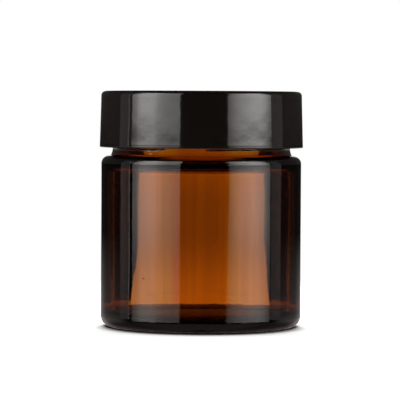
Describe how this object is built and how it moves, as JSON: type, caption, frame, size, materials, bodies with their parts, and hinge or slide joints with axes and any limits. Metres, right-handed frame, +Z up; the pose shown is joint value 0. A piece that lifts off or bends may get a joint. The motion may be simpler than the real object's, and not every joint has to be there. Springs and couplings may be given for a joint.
{
  "type": "screw-top cosmetic jar",
  "caption": "Round amber glass cream jar with a short threaded neck and a smooth black screw cap that holds a lined sealing disc.",
  "frame": {"origin": "middle of the base, on the surface that the jar stands on", "axes": "+Z up along the axis of the jar and of its thread; the jar is round, so X and Y are free, and the glass thread starts at +X"},
  "size_m": [0.058, 0.058, 0.067],
  "materials": {
    "amber_glass": "clear amber, moulded, glossy",
    "black_plastic": "glossy black thermoset moulding",
    "liner_board": "matt grey-brown pulpboard",
    "liner_film": "thin white film with a soft shine"
  },
  "bodies": {
    "jar": {"jar": "amber_glass"},
    "liner": {"liner_board": "liner_board", "liner_film": "liner_film"},
    "cap": {"screw_cap": "black_plastic"}
  },
  "joints": [
    {"name": "cap_lift", "type": "slide", "parent": "jar", "child": "liner", "axis": [0, 0, 1], "range_m": [0, 0.0212]},
    {"name": "cap_turn", "type": "hinge", "parent": "liner", "child": "cap", "pos_m": [0, 0, 0], "axis": [0, 0, 1], "range_deg": [0, 1800]}
  ],
  "couplings": [
    {"joint": "cap_lift", "follows": "cap_turn", "m_per_rad": 0.0006737}
  ]
}
